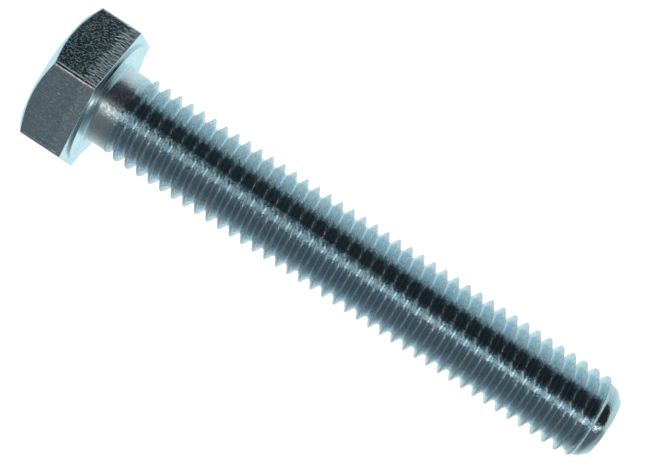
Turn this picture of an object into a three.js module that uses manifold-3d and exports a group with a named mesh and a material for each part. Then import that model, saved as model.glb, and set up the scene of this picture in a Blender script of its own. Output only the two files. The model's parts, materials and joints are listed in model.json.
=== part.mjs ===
// A fully threaded hexagon head bolt, cold forged and thread rolled in one piece from steel wire.
// Millimetres, +Z up. It stands on its head: the origin is the centre of the head's flat top, and +Z runs
// along the axis towards the tip. Two of the six flats face +X and -X, so a corner faces -Y.
import * as THREE from "three";
import { mergeVertices } from "three/addons/utils/BufferGeometryUtils.js";
import Module from "manifold-3d";

const wasm = await Module();
wasm.setup();

// Head
const ACROSS_FLATS = 16;
const ACROSS_CORNERS = 18.36; // the forged corners are a little blunt, so less than 16 / cos 30
const HEAD_HEIGHT = 6.3; // from the flat top to the bearing face
const TOP_DIAMETER = 15; // the flat circle inside the chamfer
const CHAMFER_ANGLE = THREE.MathUtils.degToRad(30);
const WASHER_FACE_DIAMETER = 14.7;
const WASHER_FACE_THICKNESS = 0.35;

// Shank
const LENGTH = 64.2; // from the bearing face to the tip
const NECK_DIAMETER = 9.2;
const FILLET_RADIUS = 0.5;
const NECK_LENGTH = 2.45; // from the bearing face to where the first groove begins
const GROOVE_RUNOUT = 0.6; // the length over which the first groove reaches its full depth
const CREST_RUNOUT_START = 2.7; // from the bearing face
const CREST_RUNOUT = 0.7;

// Thread: M10 x 1.5, right hand
const PITCH = 1.5;
const MAJOR_DIAMETER = 9.95;
const MINOR_DIAMETER = 8.2;
const CREST_FLAT = PITCH / 8;
const FLANK_HALF_ANGLE = THREE.MathUtils.degToRad(30);
const CREST_OVER_X = 4.065; // height above the bearing face at which a crest crosses the +X side

// Tip: a cone that steepens into a short nose, as [distance below the tip, diameter]
const TIP_FACE_DIAMETER = 7;
const NOSE_AND_CONE = [
  [2.15, MAJOR_DIAMETER],
  [0.75, 8.35],
];

// Facets
const HEAD_SEGMENTS = 48;
const THREAD_SEGMENTS = 30;
const FILLET_STEPS = 4;
const OVERLAP = 0.4; // how far joined shapes reach into each other
const CLEAR = 0.1; // how far a trimming shape stays clear of what it doesn't trim

const TOP_OF_SHANK = HEAD_HEIGHT + LENGTH;
const NECK_END = HEAD_HEIGHT + NECK_LENGTH;

// A closed three.js geometry as a manifold solid: shared vertices merged, collapsed triangles left out.
function solidOf(geometry) {
  const bare = geometry.clone();
  bare.deleteAttribute("normal");
  bare.deleteAttribute("uv");
  const merged = mergeVertices(bare, 1e-5);
  const corners = merged.index.array;
  const triVerts = [];
  for (let i = 0; i < corners.length; i += 3) {
    const [a, b, c] = corners.slice(i, i + 3);
    if (a !== b && b !== c && c !== a) {
      triVerts.push(a, b, c);
    }
  }
  return new wasm.Manifold(
    new wasm.Mesh({
      numProp: 3,
      vertProperties: merged.attributes.position.array,
      triVerts: new Uint32Array(triVerts),
    }),
  );
}

// A manifold solid as a three.js geometry.
function geometryOf(solid) {
  const mesh = solid.getMesh();
  const geometry = new THREE.BufferGeometry();
  geometry.setAttribute("position", new THREE.BufferAttribute(mesh.vertProperties, 3));
  geometry.setIndex(new THREE.BufferAttribute(mesh.triVerts, 1));
  return geometry;
}

// A solid of revolution about Z. The outline is a list of [radius, height] points that starts and ends on
// the axis and runs upwards.
function turned(outline, segments) {
  const points = outline.map(([radius, height]) => new THREE.Vector2(radius, height));
  const geometry = new THREE.LatheGeometry(points, segments);
  geometry.rotateX(Math.PI / 2);
  return solidOf(geometry);
}

// The hexagonal prism, its top chamfered and its corners blunted by a turned envelope.
function hexHead() {
  const height = HEAD_HEIGHT - WASHER_FACE_THICKNESS;
  const sharpCornerRadius = ACROSS_FLATS / 2 / Math.cos(Math.PI / 6);
  const prism = new THREE.CylinderGeometry(sharpCornerRadius, sharpCornerRadius, height, 6);
  prism.rotateX(Math.PI / 2);
  prism.translate(0, 0, height / 2);

  const topRadius = TOP_DIAMETER / 2;
  const cornerRadius = ACROSS_CORNERS / 2;
  const chamferDepth = (cornerRadius - topRadius) * Math.tan(CHAMFER_ANGLE);
  const envelope = turned(
    [
      [0, 0],
      [topRadius, 0],
      [cornerRadius, chamferDepth],
      [cornerRadius, height + CLEAR],
      [0, height + CLEAR],
    ],
    HEAD_SEGMENTS,
  );
  return solidOf(prism).intersect(envelope);
}

// The thin round washer face, the fillet, the plain neck, and the cone that fills the first groove.
function neckAndWasherFace() {
  const neckRadius = NECK_DIAMETER / 2;
  const washerRadius = WASHER_FACE_DIAMETER / 2;
  const outline = [
    [0, HEAD_HEIGHT - WASHER_FACE_THICKNESS - OVERLAP],
    [washerRadius, HEAD_HEIGHT - WASHER_FACE_THICKNESS - OVERLAP],
    [washerRadius, HEAD_HEIGHT],
  ];
  for (let step = 0; step <= FILLET_STEPS; step += 1) {
    const turn = (step / FILLET_STEPS) * (Math.PI / 2);
    outline.push([
      neckRadius + FILLET_RADIUS * (1 - Math.sin(turn)),
      HEAD_HEIGHT + FILLET_RADIUS * (1 - Math.cos(turn)),
    ]);
  }
  const buriedRadius = MINOR_DIAMETER / 2 - CLEAR;
  outline.push([neckRadius, NECK_END]);
  outline.push([buriedRadius, NECK_END + GROOVE_RUNOUT]);
  outline.push([0, NECK_END + GROOVE_RUNOUT]);
  return turned(outline, THREAD_SEGMENTS);
}

// One pitch of the thread's outline: root flat, flank, crest flat. The next pitch's first point ends it.
function threadOutline() {
  const root = MINOR_DIAMETER / 2;
  const crest = MAJOR_DIAMETER / 2;
  const flank = (crest - root) * Math.tan(FLANK_HALF_ANGLE);
  const rootFlat = PITCH - CREST_FLAT - 2 * flank;
  return [
    [root, 0],
    [root, rootFlat],
    [crest, rootFlat + flank],
    [crest, rootFlat + flank + CREST_FLAT],
  ];
}

// A rod with the thread all along it, at least from lowest to highest. The outline climbs one pitch in a
// turn, so the last column meets the first one a pitch further along. The step that this leaves at each
// end is closed by a flat wall, and each end by a fan to a pole on the axis.
function threadedRod(lowest, highest) {
  const onePitch = threadOutline();
  const crestMiddle = onePitch[2][1] + CREST_FLAT / 2;
  const crestHeight = HEAD_HEIGHT + CREST_OVER_X;
  const start = crestHeight - crestMiddle - PITCH * Math.ceil((crestHeight - lowest) / PITCH + 1);
  const pitches = Math.ceil((highest - start) / PITCH);
  const perColumn = pitches * onePitch.length + 1;
  const last = perColumn - 1;

  const positions = [];
  for (let column = 0; column <= THREAD_SEGMENTS; column += 1) {
    const angle = (2 * Math.PI * (column % THREAD_SEGMENTS)) / THREAD_SEGMENTS;
    for (let point = 0; point < perColumn; point += 1) {
      const [radius, height] = onePitch[point % onePitch.length];
      const climbed = Math.floor(point / onePitch.length) + column / THREAD_SEGMENTS;
      positions.push(radius * Math.cos(angle), radius * Math.sin(angle), start + height + climbed * PITCH);
    }
  }
  const lowPole = positions.length / 3;
  const highPole = lowPole + 1;
  positions.push(0, 0, start - PITCH);
  positions.push(0, 0, start + (pitches + 2) * PITCH);

  const vertex = (column, point) => column * perColumn + point;
  const corners = [];
  for (let column = 0; column < THREAD_SEGMENTS; column += 1) {
    for (let point = 0; point < last; point += 1) {
      const [a, b] = [vertex(column, point), vertex(column + 1, point)];
      const [c, d] = [vertex(column + 1, point + 1), vertex(column, point + 1)];
      corners.push(a, b, c, a, c, d);
    }
    corners.push(lowPole, vertex(column + 1, 0), vertex(column, 0));
    corners.push(highPole, vertex(column, last), vertex(column + 1, last));
  }
  for (let point = 0; point < onePitch.length; point += 1) {
    const high = last - point;
    corners.push(lowPole, vertex(0, point), vertex(0, point + 1));
    corners.push(highPole, vertex(THREAD_SEGMENTS, high), vertex(THREAD_SEGMENTS, high - 1));
  }

  const geometry = new THREE.BufferGeometry();
  geometry.setAttribute("position", new THREE.Float32BufferAttribute(positions, 3));
  geometry.setIndex(corners);
  return solidOf(geometry);
}

// The outside of the shank that trims the threaded rod: the crests rise out of the neck at one end, and
// the cone and the nose cut them away at the tip.
function shankEnvelope() {
  const neckRadius = NECK_DIAMETER / 2;
  const outside = MAJOR_DIAMETER / 2 + CLEAR;
  const crestRunoutStart = HEAD_HEIGHT + CREST_RUNOUT_START;
  const coneStart = TOP_OF_SHANK - NOSE_AND_CONE[0][0];
  return turned(
    [
      [0, HEAD_HEIGHT + CLEAR],
      [neckRadius - CLEAR, HEAD_HEIGHT + CLEAR],
      [neckRadius - CLEAR, crestRunoutStart - CLEAR],
      [neckRadius, crestRunoutStart],
      [outside, crestRunoutStart + CREST_RUNOUT],
      [outside, coneStart - CLEAR],
      ...NOSE_AND_CONE.map(([below, diameter]) => [diameter / 2, TOP_OF_SHANK - below]),
      [TIP_FACE_DIAMETER / 2, TOP_OF_SHANK],
      [0, TOP_OF_SHANK],
    ],
    THREAD_SEGMENTS,
  );
}

function hexBolt() {
  const shank = threadedRod(HEAD_HEIGHT, TOP_OF_SHANK).intersect(shankEnvelope());
  return geometryOf(hexHead().add(neckAndWasherFace()).add(shank));
}

const zincPlate = new THREE.MeshStandardMaterial({ color: 0xa9b8bf, roughness: 0.28, metalness: 1 });

const bolt = new THREE.Mesh(hexBolt(), zincPlate);
bolt.name = "hex_bolt";

const group = new THREE.Group();
group.add(bolt);
export default group;
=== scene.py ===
"""Looks of a zinc-plated hexagon head bolt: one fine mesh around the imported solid, its plated finish
and a white studio. Lengths are in metres; the bolt stands on its head with its tip up."""

import json
import math

import bmesh
import bpy
from mathutils import Matrix, Vector


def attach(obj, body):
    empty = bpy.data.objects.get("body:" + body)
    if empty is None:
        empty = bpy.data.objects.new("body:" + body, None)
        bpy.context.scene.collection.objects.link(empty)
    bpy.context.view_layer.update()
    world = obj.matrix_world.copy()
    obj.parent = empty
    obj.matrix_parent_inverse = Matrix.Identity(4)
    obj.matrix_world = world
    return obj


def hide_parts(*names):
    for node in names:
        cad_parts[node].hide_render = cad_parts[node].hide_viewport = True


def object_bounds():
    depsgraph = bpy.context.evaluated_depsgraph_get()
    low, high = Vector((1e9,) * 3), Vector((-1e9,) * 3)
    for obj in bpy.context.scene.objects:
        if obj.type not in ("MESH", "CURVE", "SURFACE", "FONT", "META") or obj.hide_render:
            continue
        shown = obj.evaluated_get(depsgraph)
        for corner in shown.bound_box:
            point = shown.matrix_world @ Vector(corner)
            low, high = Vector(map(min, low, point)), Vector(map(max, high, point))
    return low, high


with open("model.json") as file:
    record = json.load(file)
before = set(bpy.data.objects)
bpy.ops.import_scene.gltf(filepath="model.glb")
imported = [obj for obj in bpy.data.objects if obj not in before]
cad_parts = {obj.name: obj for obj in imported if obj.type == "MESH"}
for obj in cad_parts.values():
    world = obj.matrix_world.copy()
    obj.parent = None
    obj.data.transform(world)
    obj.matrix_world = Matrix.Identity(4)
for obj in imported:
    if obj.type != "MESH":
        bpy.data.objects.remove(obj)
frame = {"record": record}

NODE = "hex_bolt"
MM = 0.001

# What the frame says
cad_low, cad_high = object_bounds()
mount_at = {mount["name"]: Vector(mount["pos_m"]) for mount in frame["record"]["mounts"]}
TIP = cad_high.z
BEARING = mount_at["bearing_face"].z
APOTHEM = cad_high.x
CORNER_REACH = cad_high.y

# Head
SIXTH = math.tau / 6
SHARP_CORNER = APOTHEM / math.cos(SIXTH / 2)
CORNER_RADIUS = (SHARP_CORNER - CORNER_REACH) / (1 / math.cos(SIXTH / 2) - 1)
CHAMFER_SLOPE = math.tan(math.radians(30))
TOP_RADIUS = 7.5 * MM
EDGE_ROUNDING = 0.12 * MM
WASHER_RADIUS = 7.35 * MM
WASHER_THICKNESS = 0.35 * MM
WASHER_RIM = 0.09 * MM
WASHER_FOOT = 0.06 * MM
HEX_PLANE = BEARING - WASHER_THICKNESS

# Shank
NECK_RADIUS = 4.6 * MM
FILLET = 0.5 * MM
NECK_TOP = BEARING + 1.6 * MM
RUNOUT_START = BEARING + 2.25 * MM
RUNOUT_END = BEARING + 3.35 * MM

# Thread, right hand
PITCH = 1.5 * MM
CREST = 4.975 * MM
ROOT = 4.1 * MM
HALF_CREST = PITCH / 16
CREST_OVER_X = BEARING + 4.065 * MM  # the height at which a crest crosses the +X side
FLANK_SLOPE = math.tan(math.radians(30))

# Tip: a cone, then a steeper nose round the flat end face
CONE_RADIUS = 3.75 * MM  # where the cone would meet the end face
CONE_SLOPE = 0.57
TIP_FACE_RADIUS = 3.5 * MM
NOSE_SLOPE = 0.9
TIP_ROUNDING = 0.05 * MM

# How the grooves end: all these are distances below the tip, apart from the ridge's height and the slope
GROOVE_RISE_START = 2.9 * MM
GROOVE_RISE = 0.38
LAST_RIDGE = 0.3 * MM
GROOVES_FADE = 2.0 * MM
GROOVES_END = 0.7 * MM

# How finely the mesh is divided
SECTORS = 96
SIDE_SECTORS = SECTORS // 6
CORNER_SECTORS = 3
FILLET_STEPS = 7
EDGE_STEPS = 3
FOOT_STEPS = 2
MERGE = 2e-7

# Half a crest, from its middle outwards, as height and how far below the full radius: rolling folds the
# metal up from both flanks and leaves a shallow seam between the two lips
CREST_FOLD = [(0.0, 0.035 * MM), (0.028 * MM, 0.012 * MM), (0.062 * MM, 0.0), (0.108 * MM, 0.035 * MM)]

# Points of the outline: shares of the way down a flank, and places on the root's arc from its middle
FLANK_SHARES = (0.1, 0.5)
ROOT_DEGREES = (60, 36, 12)

# Rings that keep the shading crisp beside a rounded edge, by their distance from it
BESIDE_FILLET = 0.1 * MM
BESIDE_RIM = 0.1 * MM
BESIDE_EDGE = 0.12 * MM
NECK_RING = 0.5 * MM

# The chamfer's edge on the flats, as inset from the flat and height above the chamfer's own cone
CHAMFER_EDGE = [
    (0.0, 0.16 * MM),
    (0.0, 0.06 * MM),
    (0.02 * MM, 0.018 * MM),
    (0.06 * MM, 0.0),
    (0.14 * MM, 0.0),
]

# Rings across the flats, as shares of the way down to a height near the chamfer
LOW_ON_FLATS = 1.4 * MM
FLAT_SHARES = (0.25, 0.5, 0.75)

# Rings outside and inside the edge of the head's flat top, and inside the edge of the end face
OUTSIDE_TOP_EDGE = (0.16 * MM, 0.06 * MM)
INSIDE_TOP_EDGE = (0.06 * MM, 0.2 * MM, 1.6 * MM, 3.4 * MM, 5.4 * MM)
INSIDE_TIP_EDGE = (0.1 * MM, 1.2 * MM, 2.2 * MM)


def smooth_step(low, high, value):
    share = min(max((value - low) / (high - low), 0.0), 1.0)
    return share * share * (3 - 2 * share)


# ---------------------------------------------------------------- the thread


def one_pitch():
    """Height and radius of one pitch's outline, from the middle of a crest to the middle of the next."""
    sharp_root = CREST - (PITCH / 2 - HALF_CREST) / FLANK_SLOPE
    root_arc = ROOT - sharp_root
    arc_centre = sharp_root + 2 * root_arc
    half = [(height, CREST - sunk) for height, sunk in CREST_FOLD]
    for share in FLANK_SHARES:
        radius = CREST + (ROOT - CREST) * share
        half.append((HALF_CREST + (CREST - radius) * FLANK_SLOPE, radius))
    for degrees in ROOT_DEGREES:
        turn = math.radians(degrees)
        half.append((PITCH / 2 - root_arc * math.sin(turn), arc_centre - root_arc * math.cos(turn)))
    return half + [(PITCH - height, radius) for height, radius in reversed(half[1:])]


def smooth_lowest(values, rounding):
    """The lowest of the values, with the corners between them rounded off."""
    lowest = min(values)
    return lowest - rounding * math.log(sum(math.exp((lowest - value) / rounding) for value in values))


def tip_envelope(height):
    """How far from the axis a crest may reach at this height: full, then a cone, then a steeper nose."""
    below = max(TIP - height, 0.0)
    stretches = (CREST, CONE_RADIUS + CONE_SLOPE * below, TIP_FACE_RADIUS + NOSE_SLOPE * below)
    return smooth_lowest(stretches, TIP_ROUNDING)


def shank_radius(radius, height):
    """The thread's radius where it runs out into the neck and where its ridges sink into the tip."""
    deep = smooth_step(RUNOUT_START, RUNOUT_END, height)
    radius = NECK_RADIUS + (radius - NECK_RADIUS) * deep
    crest = tip_envelope(height)
    below = TIP - height
    root = ROOT + GROOVE_RISE * max(GROOVE_RISE_START - below, 0.0)
    root = min(root, crest - LAST_RIDGE * smooth_step(GROOVES_END, GROOVES_FADE, below))
    return max(crest - (CREST - radius), root)


def make_thread(bm):
    """Sweeps the shank's outline once round the axis while it climbs one pitch, then trims both ends.

    The sweep starts a pitch or more below the neck and ends as far above the tip, so that the trim
    reaches all the way round."""
    outline = one_pitch()
    pitches_below = math.ceil((CREST_OVER_X - NECK_TOP) / PITCH) + 1
    pitches = math.ceil((TIP - NECK_TOP) / PITCH) + 3
    start = CREST_OVER_X - pitches_below * PITCH
    line = [
        bm.verts.new((radius, 0, start + turn * PITCH + height))
        for turn in range(pitches)
        for height, radius in outline
    ]
    edges = [bm.edges.new(pair) for pair in zip(line, line[1:])]
    bmesh.ops.spin(
        bm,
        geom=line + edges,
        cent=(0, 0, 0),
        axis=(0, 0, 1),
        dvec=(0, 0, PITCH / SECTORS),
        angle=math.tau,
        steps=SECTORS,
        use_merge=False,
        use_duplicate=False,
    )
    bmesh.ops.remove_doubles(bm, verts=bm.verts[:], dist=MERGE)
    for vert in bm.verts:
        radius = math.hypot(vert.co.x, vert.co.y)
        height = min(max(vert.co.z, NECK_TOP), TIP)
        wanted = shank_radius(radius, height)
        vert.co = Vector((vert.co.x * wanted / radius, vert.co.y * wanted / radius, height))
    bmesh.ops.remove_doubles(bm, verts=bm.verts[:], dist=MERGE)


# ---------------------------------------------------------------- rings


def rim_at(bm, height):
    """The edges of the open rim at this height."""
    return [
        edge
        for edge in bm.edges
        if edge.is_boundary and all(abs(vert.co.z - height) < MERGE for vert in edge.verts)
    ]


def direction(angle):
    return Vector((math.cos(angle), math.sin(angle)))


def next_ring(bm, rim, place):
    """Extrudes an open rim, and puts its new vertices where place says, in order round the axis."""
    made = bmesh.ops.extrude_edge_only(bm, edges=rim)["geom"]
    verts = [part for part in made if isinstance(part, bmesh.types.BMVert)]
    just_before_x = 1e-3
    verts.sort(key=lambda vert: (math.atan2(vert.co.y, vert.co.x) + just_before_x) % math.tau)
    for sector, vert in enumerate(verts):
        vert.co = place(sector)
    new = set(verts)
    return [
        part for part in made if isinstance(part, bmesh.types.BMEdge) and set(part.verts) <= new
    ]


def round_ring(radius, height):
    def place(sector):
        point = radius * direction(sector / SECTORS * math.tau)
        return Vector((point.x, point.y, height))

    return place


def hexagon_point(sector, inset):
    """A point of the hexagon with rounded corners.

    A few sectors go round each corner, the rest cross the flats, and the first of those is close to
    the corner."""
    corner_radius = CORNER_RADIUS - inset
    from_corner = sector % SIDE_SECTORS - SIDE_SECTORS // 2
    corner_angle = (sector - from_corner) / SECTORS * math.tau
    reach = (APOTHEM - inset - corner_radius) / math.cos(SIXTH / 2)
    turned = max(-CORNER_SECTORS, min(CORNER_SECTORS, from_corner)) / CORNER_SECTORS * SIXTH / 2
    point = reach * direction(corner_angle) + corner_radius * direction(corner_angle + turned)
    beyond = abs(from_corner) - CORNER_SECTORS
    if beyond > 0:
        close = 0.05
        share = close + (1 - close) * (beyond - 1) / (SIDE_SECTORS // 2 - CORNER_SECTORS - 1)
        sideways = math.copysign(1, from_corner)
        along = direction(corner_angle + sideways * (SIXTH / 2 + math.pi / 2))
        point += along * reach * math.sin(SIXTH / 2) * share
    return point


def hexagon_ring(inset, height_of_reach):
    def place(sector):
        point = hexagon_point(sector, inset)
        return Vector((point.x, point.y, height_of_reach(point.length)))

    return place


# ---------------------------------------------------------------- the bolt


def quarter_turn(steps):
    """Sine and cosine of a quarter turn in equal steps, without its start."""
    turns = [step / steps * math.pi / 2 for step in range(1, steps + 1)]
    return [(math.sin(turn), math.cos(turn)) for turn in turns]


def neck_and_washer_face_rings():
    """Down the neck, round the fillet, out over the bearing face, and round its rim to the hexagon."""
    fillet_centre = NECK_RADIUS + FILLET
    rings = [
        round_ring(NECK_RADIUS, NECK_TOP - NECK_RING),
        round_ring(NECK_RADIUS, BEARING + FILLET),
    ]
    for sine, cosine in quarter_turn(FILLET_STEPS):
        rings.append(round_ring(fillet_centre - FILLET * cosine, BEARING + FILLET * (1 - sine)))
    rings.append(round_ring(fillet_centre + BESIDE_FILLET, BEARING))
    rings.append(round_ring(WASHER_RADIUS - WASHER_RIM - BESIDE_RIM, BEARING))
    rings.append(round_ring(WASHER_RADIUS - WASHER_RIM, BEARING))
    for sine, cosine in quarter_turn(EDGE_STEPS):
        inside, below = WASHER_RIM * (1 - sine), WASHER_RIM * (1 - cosine)
        rings.append(round_ring(WASHER_RADIUS - inside, BEARING - below))
    rings.append(round_ring(WASHER_RADIUS, HEX_PLANE + WASHER_FOOT))
    for sine, cosine in quarter_turn(FOOT_STEPS):
        outside, above = WASHER_FOOT * (1 - cosine), WASHER_FOOT * (1 - sine)
        rings.append(round_ring(WASHER_RADIUS + outside, HEX_PLANE + above))
    return rings


def hexagon_rings():
    """Over the hexagon's rounded upper edge, down its flats and round the edge of the chamfer."""

    def level(height):
        return lambda reach: height

    def chamfer(above):
        return lambda reach: (reach - TOP_RADIUS) * CHAMFER_SLOPE + above

    rounding = EDGE_ROUNDING
    flat_end = HEX_PLANE - rounding
    rings = [
        hexagon_ring(rounding + BESIDE_EDGE, level(HEX_PLANE)),
        hexagon_ring(rounding, level(HEX_PLANE)),
    ]
    for sine, cosine in quarter_turn(EDGE_STEPS):
        rings.append(hexagon_ring(rounding * (1 - sine), level(flat_end + rounding * cosine)))
    rings.append(hexagon_ring(0.0, level(flat_end - BESIDE_EDGE)))
    for share in FLAT_SHARES:
        rings.append(hexagon_ring(0.0, level(flat_end * (1 - share) + LOW_ON_FLATS * share)))
    for inset, above in CHAMFER_EDGE:
        rings.append(hexagon_ring(inset, chamfer(above)))
    return rings


def top_rings():
    """From the chamfer on to the head's flat top, which is at the bottom here."""
    rings = [
        round_ring(TOP_RADIUS + outside, outside * CHAMFER_SLOPE) for outside in OUTSIDE_TOP_EDGE
    ]
    return rings + [round_ring(TOP_RADIUS - inside, 0.0) for inside in INSIDE_TOP_EDGE]


def make_bolt():
    bm = bmesh.new()
    make_thread(bm)
    rim = rim_at(bm, NECK_TOP)
    for place in neck_and_washer_face_rings() + hexagon_rings() + top_rings():
        rim = next_ring(bm, rim, place)
    bmesh.ops.holes_fill(bm, edges=rim, sides=0)
    rim = rim_at(bm, TIP)
    for inside in INSIDE_TIP_EDGE:
        rim = next_ring(bm, rim, round_ring(TIP_FACE_RADIUS - inside, TIP))
    bmesh.ops.holes_fill(bm, edges=rim, sides=0)
    bmesh.ops.recalc_face_normals(bm, faces=bm.faces[:])
    for face in bm.faces:
        face.smooth = True
        face.material_index = finish_of(face)
    mesh = bpy.data.meshes.new("bolt_body")
    bm.to_mesh(mesh)
    bm.free()
    body = bpy.data.objects.new("bolt_body", mesh)
    bpy.context.scene.collection.objects.link(body)
    return body


ON_FLATS, ON_HEAD_FACES, ON_SHANK = range(3)
LEAST_TILT = 0.3  # a face whose normal rises or falls less than this is taken as upright


def finish_of(face):
    """Which of the three finishes a face of the bolt has."""
    centre = face.calc_center_median()
    if centre.z > BEARING + FILLET / 2:
        return ON_SHANK
    if centre.z < HEX_PLANE and abs(face.normal.z) < LEAST_TILT:
        return ON_FLATS
    return ON_HEAD_FACES


# ---------------------------------------------------------------- node trees


class Nodes:
    """Short forms for building a node tree."""

    def __init__(self, tree):
        self.tree = tree
        tree.nodes.clear()

    def add(self, kind, **settings):
        node = self.tree.nodes.new(kind)
        for name, value in settings.items():
            setattr(node, name, value)
        return node

    def link(self, source, target):
        self.tree.links.new(source, target)

    def fill(self, socket, value):
        """Links a socket to another, or sets it to a number or a colour."""
        if isinstance(value, tuple):
            socket.default_value = (*value, 1.0)
        elif isinstance(value, (int, float)):
            socket.default_value = value
        else:
            self.link(value, socket)

    def math(self, operation, *inputs):
        node = self.add("ShaderNodeMath", operation=operation)
        for socket, value in zip(node.inputs, inputs):
            self.fill(socket, value)
        return node.outputs[0]

    def times(self, first, second):
        return self.math("MULTIPLY", first, second)

    def ramp(self, value, stops):
        node = self.add("ShaderNodeValToRGB")
        elements = node.color_ramp.elements
        while len(elements) < len(stops):
            elements.new(1.0)
        for element, (position, colour) in zip(elements, stops):
            element.position = position
            element.color = (*colour, 1.0)
        self.link(value, node.inputs["Fac"])
        return node.outputs["Color"]

    def noise(self, vector, scale, detail):
        """Soft noise with about this many lumps to the metre."""
        node = self.add("ShaderNodeTexNoise")
        node.inputs["Scale"].default_value = scale
        node.inputs["Detail"].default_value = detail
        node.inputs["Roughness"].default_value = 0.5
        self.link(vector, node.inputs["Vector"])
        return node.outputs["Fac"]

    def stretched(self, vector, scale):
        node = self.add("ShaderNodeMapping")
        node.inputs["Scale"].default_value = scale
        self.link(vector, node.inputs["Vector"])
        return node.outputs["Vector"]

    def split(self, vector):
        node = self.add("ShaderNodeSeparateXYZ")
        self.link(vector, node.inputs[0])
        return tuple(node.outputs[axis] for axis in "XYZ")

    def between(self, value, low, high):
        """0 below low, 1 above high, and a smooth rise between them."""
        node = self.add("ShaderNodeMapRange", interpolation_type="SMOOTHSTEP")
        node.inputs["From Min"].default_value = low
        node.inputs["From Max"].default_value = high
        self.link(value, node.inputs["Value"])
        return node.outputs["Result"]

    def mix(self, share, first, second, data_type="FLOAT"):
        node = self.add("ShaderNodeMix", data_type=data_type)
        self.link(share, node.inputs["Factor"])
        self.fill(node.inputs["A"], first)
        self.fill(node.inputs["B"], second)
        return node.outputs["Result"]

    def mix_colour(self, share, first, second):
        return self.mix(share, first, second, data_type="RGBA")


def axis_distance(nodes, place):
    x, y, _ = nodes.split(place)
    return nodes.math("SQRT", nodes.math("ADD", nodes.times(x, x), nodes.times(y, y)))


def along_thread(nodes, place):
    """A place in which the thread runs level, and the share of a pitch that it is past a crest."""
    x, y, z = nodes.split(place)
    climbed = nodes.math("DIVIDE", nodes.math("SUBTRACT", z, CREST_OVER_X), PITCH)
    turned = nodes.math("DIVIDE", nodes.math("ARCTAN2", y, x), math.tau)
    share = nodes.math("FRACT", nodes.math("SUBTRACT", climbed, turned))
    joined = nodes.add("ShaderNodeCombineXYZ")
    nodes.link(x, joined.inputs["X"])
    nodes.link(y, joined.inputs["Y"])
    nodes.link(nodes.times(share, PITCH), joined.inputs["Z"])
    return joined.outputs[0], share


# ---------------------------------------------------------------- the plating

# Metal colours
ZINC_BLUE = (0.55, 0.78, 0.87)
ZINC = (0.61, 0.82, 0.88)
ZINC_WARM = (0.69, 0.82, 0.83)
ZINC_DULL = (0.50, 0.67, 0.75)
TRIMMED_METAL = (0.76, 0.91, 0.94)
NECK_METAL = (0.87, 0.97, 1.0)
WORN_EDGE = (0.97, 0.97, 0.96)
CREST_METAL = (0.90, 0.94, 0.94)
ROOT_METAL = (0.72, 0.86, 0.95)

# Where the die trimmed the flats: a ragged line between these heights
TRIM_START = 4.9 * MM
TRIM_END = 5.7 * MM
TRIM_RAGGEDNESS = 1.6 * MM

# How far inside the corners they begin to be worn and are fully worn
WEAR_START = 0.14 * MM
WEAR_END = 0.08 * MM

# Roughness, as the smoothest and the roughest patches
FLATS_ROUGHNESS = (0.07, 0.1)
HEAD_FACES_ROUGHNESS = (0.2, 0.3)
NECK_ROUGHNESS = (0.25, 0.36)
CREST_ROUGHNESS = (0.12, 0.42)
CONE_ROUGHNESS = 0.1

# Values of a noise, from 0 to 1, between which the patches, grains and worn places rise
PATCHES = (0.35, 0.65)
GRAINS = (0.57, 0.68)
WORN_PLACES = (0.3, 0.45)
DULL_LINES = (0.42, 0.62)
CREST_LUMPS = (0.4, 0.6)

# The thread's finish changes evenly from near the head to near the tip, and its mottle ends on the cone
NEAR_HEAD = 0.35 * TIP
NEAR_TIP = 0.95 * TIP
ROOT_ROUGHNESS = (0.18, 0.09)
FLANK_ROUGHNESS = (0.25, 0.2)
LINE_MICRONS = (90.0, 35.0)
MOTTLE_MICRONS = (26.0, 12.0)

# Where the parts of the thread's finish lie: distances from the middle of the root, in pitches, depths
# below the full radius, and how far below the neck's top it begins
ROOT_LINE = (0.02, 0.07)
FLANK = (0.16, 0.36)
CREST_START = 0.05 * MM
CREST_FULL = 0.02 * MM
INTO_NECK = 0.4 * MM


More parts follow.
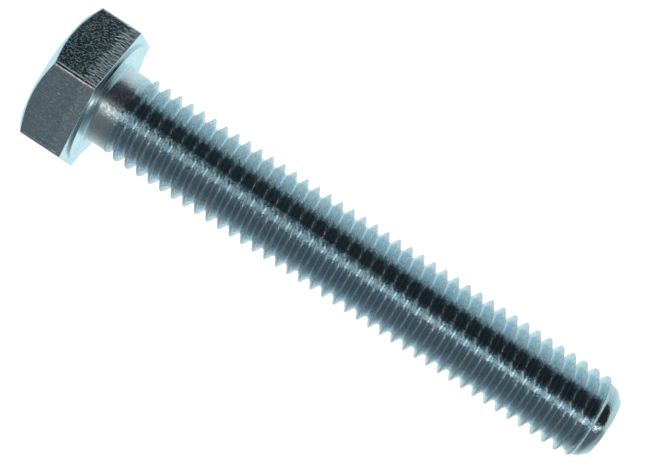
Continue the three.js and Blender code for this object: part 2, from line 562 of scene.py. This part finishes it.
class Plating:
    """Bright zinc plate: a blue-grey metal with faint warm and blue drifts. Each finish gives it its own
    roughness and relief."""

    def __init__(self, name):
        self.material = bpy.data.materials.new(name)
        self.material.use_nodes = True
        self.nodes = Nodes(self.material.node_tree)
        self.place = self.nodes.add("ShaderNodeTexCoord").outputs["Object"]
        drift = self.nodes.noise(self.place, scale=260.0, detail=3.0)
        self.colour = self.nodes.ramp(drift, [(0.32, ZINC_BLUE), (0.5, ZINC), (0.72, ZINC_WARM)])
        self.roughness = None
        self.microns = None

    def polish(self, smoothest, roughest):
        """Gives the plate soft patches between these two roughnesses."""
        patches = self.nodes.noise(self.place, scale=900.0, detail=3.0)
        share = self.nodes.between(patches, *PATCHES)
        self.roughness = self.nodes.mix(share, smoothest, roughest)

    def cover(self, where, colour, roughness):
        """Gives the plate another colour and roughness where the mask is 1."""
        self.colour = self.nodes.mix_colour(where, self.colour, colour)
        self.roughness = self.nodes.mix(where, self.roughness, roughness)

    def raise_by(self, noise, microns):
        """Adds a layer of relief, in microns where the noise is 1."""
        layer = self.nodes.times(noise, microns)
        self.microns = layer if self.microns is None else self.nodes.math("ADD", self.microns, layer)

    def finish(self):
        shader = self.nodes.add("ShaderNodeBsdfPrincipled")
        shader.inputs["Metallic"].default_value = 1.0
        self.nodes.link(self.colour, shader.inputs["Base Color"])
        self.nodes.link(self.roughness, shader.inputs["Roughness"])
        bump = self.nodes.add("ShaderNodeBump")
        bump.inputs["Strength"].default_value = 1.0
        bump.inputs["Distance"].default_value = 0.001 * MM
        self.nodes.link(self.microns, bump.inputs["Height"])
        self.nodes.link(bump.outputs["Normal"], shader.inputs["Normal"])
        output = self.nodes.add("ShaderNodeOutputMaterial")
        self.nodes.link(shader.outputs["BSDF"], output.inputs["Surface"])
        return self.material


def wrench_flats():
    """The flats keep the grain of the die, streaks where it trimmed them, and corners worn bright."""
    plating = Plating("zinc_on_wrench_flats")
    plating.polish(*FLATS_ROUGHNESS)
    nodes, place = plating.nodes, plating.place

    grain = nodes.noise(nodes.stretched(place, (1.0, 1.0, 0.45)), scale=9500.0, detail=1.0)
    plating.raise_by(nodes.noise(place, scale=9000.0, detail=2.0), microns=1.5)
    plating.raise_by(nodes.between(grain, *GRAINS), microns=8.0)

    ragged = nodes.noise(nodes.stretched(place, (1.0, 1.0, 0.4)), scale=3000.0, detail=2.0)
    height = nodes.math("ADD", nodes.split(place)[2], nodes.times(ragged, TRIM_RAGGEDNESS))
    trimmed = nodes.between(height, TRIM_START, TRIM_END)
    streaks = nodes.noise(nodes.stretched(place, (1.0, 1.0, 0.25)), scale=6200.0, detail=1.5)
    plating.raise_by(nodes.times(streaks, trimmed), microns=46.0)
    plating.cover(trimmed, TRIMMED_METAL, roughness=0.2)

    distance = axis_distance(nodes, place)
    edge = nodes.between(distance, CORNER_REACH - WEAR_START, CORNER_REACH - WEAR_END)
    lumps = nodes.noise(place, scale=3000.0, detail=2.0)
    worn = nodes.times(edge, nodes.between(lumps, *WORN_PLACES))
    plating.cover(worn, WORN_EDGE, roughness=0.26)
    plating.raise_by(nodes.times(worn, lumps), microns=30.0)
    return plating.finish()


def head_faces():
    """The chamfer, the head's flat top and the washer face are plain and satin."""
    plating = Plating("zinc_on_head_faces")
    plating.polish(*HEAD_FACES_ROUGHNESS)
    plating.raise_by(plating.nodes.noise(plating.place, scale=5000.0, detail=2.0), microns=5.0)
    return plating.finish()


def shank():
    """A satin neck that turns into rolled thread, with fine lines along the helix, bright roots and
    lumpy crests, and then into a smooth cone."""
    plating = Plating("zinc_on_shank")
    nodes, place = plating.nodes, plating.place
    level, share = along_thread(nodes, place)
    height = nodes.split(place)[2]
    past_neck = nodes.between(height, NECK_TOP - INTO_NECK, RUNOUT_END)
    past_grooves = nodes.between(height, TIP - GROOVES_FADE, TIP - GROOVES_END)
    rolled = nodes.math("SUBTRACT", past_neck, past_grooves)
    towards_tip = nodes.between(height, NEAR_HEAD, NEAR_TIP)
    off_root = nodes.math("ABSOLUTE", nodes.math("SUBTRACT", share, 0.5))

    mottle = nodes.noise(place, scale=2600.0, detail=3.0)
    satin = nodes.mix(nodes.between(mottle, *PATCHES), *NECK_ROUGHNESS)
    by_the_root = nodes.mix(towards_tip, *ROOT_ROUGHNESS)
    by_the_crest = nodes.mix(towards_tip, *FLANK_ROUGHNESS)
    flank = nodes.mix(nodes.between(off_root, *FLANK), by_the_root, by_the_crest)
    plating.roughness = nodes.mix(past_grooves, nodes.mix(past_neck, satin, flank), CONE_ROUGHNESS)
    plating.raise_by(mottle, microns=nodes.mix(past_grooves, *MOTTLE_MICRONS))
    plating.raise_by(nodes.noise(place, scale=5600.0, detail=1.5), microns=18.0)

    lines = nodes.noise(nodes.stretched(level, (0.22, 0.22, 1.0)), scale=6800.0, detail=2.0)
    plating.raise_by(nodes.times(lines, rolled), microns=nodes.mix(towards_tip, *LINE_MICRONS))
    dull = nodes.times(nodes.between(lines, *DULL_LINES), rolled)
    thread_colour = nodes.mix_colour(dull, plating.colour, ZINC_DULL)
    plating.colour = nodes.mix_colour(past_neck, NECK_METAL, thread_colour)

    root = nodes.math("SUBTRACT", rolled, nodes.between(off_root, *ROOT_LINE))
    plating.cover(root, ROOT_METAL, roughness=0.22)
    crest = nodes.between(axis_distance(nodes, place), CREST - CREST_START, CREST - CREST_FULL)
    lumps = nodes.noise(nodes.stretched(level, (0.5, 0.5, 1.0)), scale=3800.0, detail=2.0)
    plating.raise_by(nodes.times(crest, lumps), microns=85.0)
    lumpy = nodes.mix(nodes.between(lumps, *CREST_LUMPS), *CREST_ROUGHNESS)
    plating.cover(crest, CREST_METAL, roughness=lumpy)
    return plating.finish()


# ---------------------------------------------------------------- the studio

CAMERA_AZIMUTH = math.radians(2.96)
CAMERA_ELEVATION = math.radians(1.376)
CAMERA_ROLL = math.radians(-123.25)
CAMERA_DISTANCE = 181.05 * MM
AIM_BESIDE_AXIS = 0.96 * MM
AIM_HEIGHT = 33.61 * MM
LENS = 92.92
SENSOR = 36.0
NEAREST_SEEN = 5 * MM


def make_camera():
    """A camera level with the middle of the bolt and rolled, so that the bolt lies at a slant."""
    forward = Vector((
        -math.sin(CAMERA_AZIMUTH) * math.cos(CAMERA_ELEVATION),
        math.cos(CAMERA_AZIMUTH) * math.cos(CAMERA_ELEVATION),
        -math.sin(CAMERA_ELEVATION),
    ))
    right = Vector((math.cos(CAMERA_AZIMUTH), math.sin(CAMERA_AZIMUTH), 0.0))
    up = right.cross(forward)
    roll = Matrix.Rotation(-CAMERA_ROLL, 3, forward * -1)
    aim = right * -AIM_BESIDE_AXIS + Vector((0, 0, AIM_HEIGHT))
    camera = bpy.data.objects.new("camera", bpy.data.cameras.new("camera"))
    bpy.context.scene.collection.objects.link(camera)
    basis = Matrix((roll @ right, roll @ up, -forward)).transposed().to_4x4()
    camera.matrix_world = Matrix.Translation(aim - forward * CAMERA_DISTANCE) @ basis
    camera.data.lens = LENS
    camera.data.sensor_width = SENSOR
    camera.data.clip_start = NEAREST_SEEN
    bpy.context.scene.camera = camera


# How bright the studio is in each direction round the bolt, in degrees from the camera's side towards -X
STUDIO = [
    # The pale room behind the bolt, falling off round its +X side
    (-180, 0.95),
    (-160, 0.80),
    (-135, 0.50),
    (-118, 0.34),
    (-105, 0.225),
    (-95, 0.16),
    # A grey wall
    (-84, 0.135),
    (-44, 0.135),
    (-25, 0.15),
    # The lamp
    (-20, 0.75),
    (-18, 1.7),
    (-14, 1.7),
    (-11, 0.75),
    # A black card
    (-4, 0.12),
    (3, 0.035),
    (14, 0.024),
    (60, 0.024),
    (69, 0.03),
    # The pale room again, up to the back
    (76, 0.32),
    (84, 0.52),
    (95, 0.60),
    (108, 0.64),
    (140, 0.76),
    (180, 0.95),
]
LIGHT_TINT = Vector((0.88, 1.02, 1.05))
SHADE_TINT = Vector((0.92, 0.96, 1.08))
LAMP_TINT = Vector((1.05, 0.99, 0.96))

# A soft light right above and right below, from where a direction's height passes these
SKY_START = 0.997
SKY_END = 0.9995
SKY = 0.6

WHITE = (1.0, 1.0, 1.0)
BACKDROP_STRENGTH = 1.1


def tinted(light):
    """Shade is bluish, light is cyan and the lamp, the only thing brighter than 1, is warm."""
    tint = LAMP_TINT if light > 1 else SHADE_TINT.lerp(LIGHT_TINT, min(light / SKY, 1.0))
    return tuple(tint * light)


def make_world():
    """The studio as the bolt reflects it, and a white backdrop where the camera looks straight at it."""
    world = bpy.data.worlds.new("studio")
    world.use_nodes = True
    bpy.context.scene.world = world
    nodes = Nodes(world.node_tree)
    turned = nodes.add("ShaderNodeMapping", vector_type="POINT")
    turned.inputs["Rotation"].default_value = (0, 0, -CAMERA_AZIMUTH)
    nodes.link(nodes.add("ShaderNodeTexCoord").outputs["Generated"], turned.inputs["Vector"])
    x, y, z = nodes.split(turned.outputs["Vector"])
    round_it = nodes.math("ARCTAN2", nodes.times(x, -1.0), nodes.times(y, -1.0))
    share = nodes.math("ADD", nodes.math("DIVIDE", round_it, math.tau), 0.5)
    bands = nodes.ramp(share, [(0.5 + degrees / 360, tinted(light)) for degrees, light in STUDIO])
    overhead = nodes.between(nodes.math("ABSOLUTE", z), SKY_START, SKY_END)
    reflected = nodes.add("ShaderNodeBackground")
    nodes.link(nodes.mix_colour(overhead, bands, tinted(SKY)), reflected.inputs["Color"])
    backdrop = nodes.add("ShaderNodeBackground")
    nodes.fill(backdrop.inputs["Color"], WHITE)
    nodes.fill(backdrop.inputs["Strength"], BACKDROP_STRENGTH)
    both = nodes.add("ShaderNodeMixShader")
    nodes.link(nodes.add("ShaderNodeLightPath").outputs["Is Camera Ray"], both.inputs[0])
    nodes.link(reflected.outputs[0], both.inputs[1])
    nodes.link(backdrop.outputs[0], both.inputs[2])
    output = nodes.add("ShaderNodeOutputWorld")
    nodes.link(both.outputs[0], output.inputs["Surface"])


FLOOR_HALF_WIDTH = 1.5
FLOOR_DROP = 0.02 * MM
FLOOR_COLOUR = (0.8, 0.8, 0.8)
FLOOR_ROUGHNESS = 0.6
FLOOR_GLOW = 0.9


def make_floor():
    """A pale floor just under the head. It is left out of the reflections, which the studio gives."""
    bm = bmesh.new()
    bmesh.ops.create_grid(bm, x_segments=1, y_segments=1, size=FLOOR_HALF_WIDTH)
    bmesh.ops.translate(bm, verts=bm.verts[:], vec=(0, 0, -FLOOR_DROP))
    mesh = bpy.data.meshes.new("floor")
    bm.to_mesh(mesh)
    bm.free()
    floor = bpy.data.objects.new("floor", mesh)
    bpy.context.scene.collection.objects.link(floor)
    material = bpy.data.materials.new("pale_floor")
    material.use_nodes = True
    nodes = Nodes(material.node_tree)
    shader = nodes.add("ShaderNodeBsdfPrincipled")
    nodes.fill(shader.inputs["Base Color"], FLOOR_COLOUR)
    nodes.fill(shader.inputs["Roughness"], FLOOR_ROUGHNESS)
    nodes.fill(shader.inputs["Emission Color"], WHITE)
    nodes.fill(shader.inputs["Emission Strength"], FLOOR_GLOW)
    output = nodes.add("ShaderNodeOutputMaterial")
    nodes.link(shader.outputs["BSDF"], output.inputs["Surface"])
    mesh.materials.append(material)
    floor.visible_glossy = False


bolt = make_bolt()
for finish in (wrench_flats, head_faces, shank):
    bolt.data.materials.append(finish())
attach(bolt, "root")
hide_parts(NODE)
make_floor()
make_world()
make_camera()
bpy.context.scene.view_settings.view_transform = "Standard"
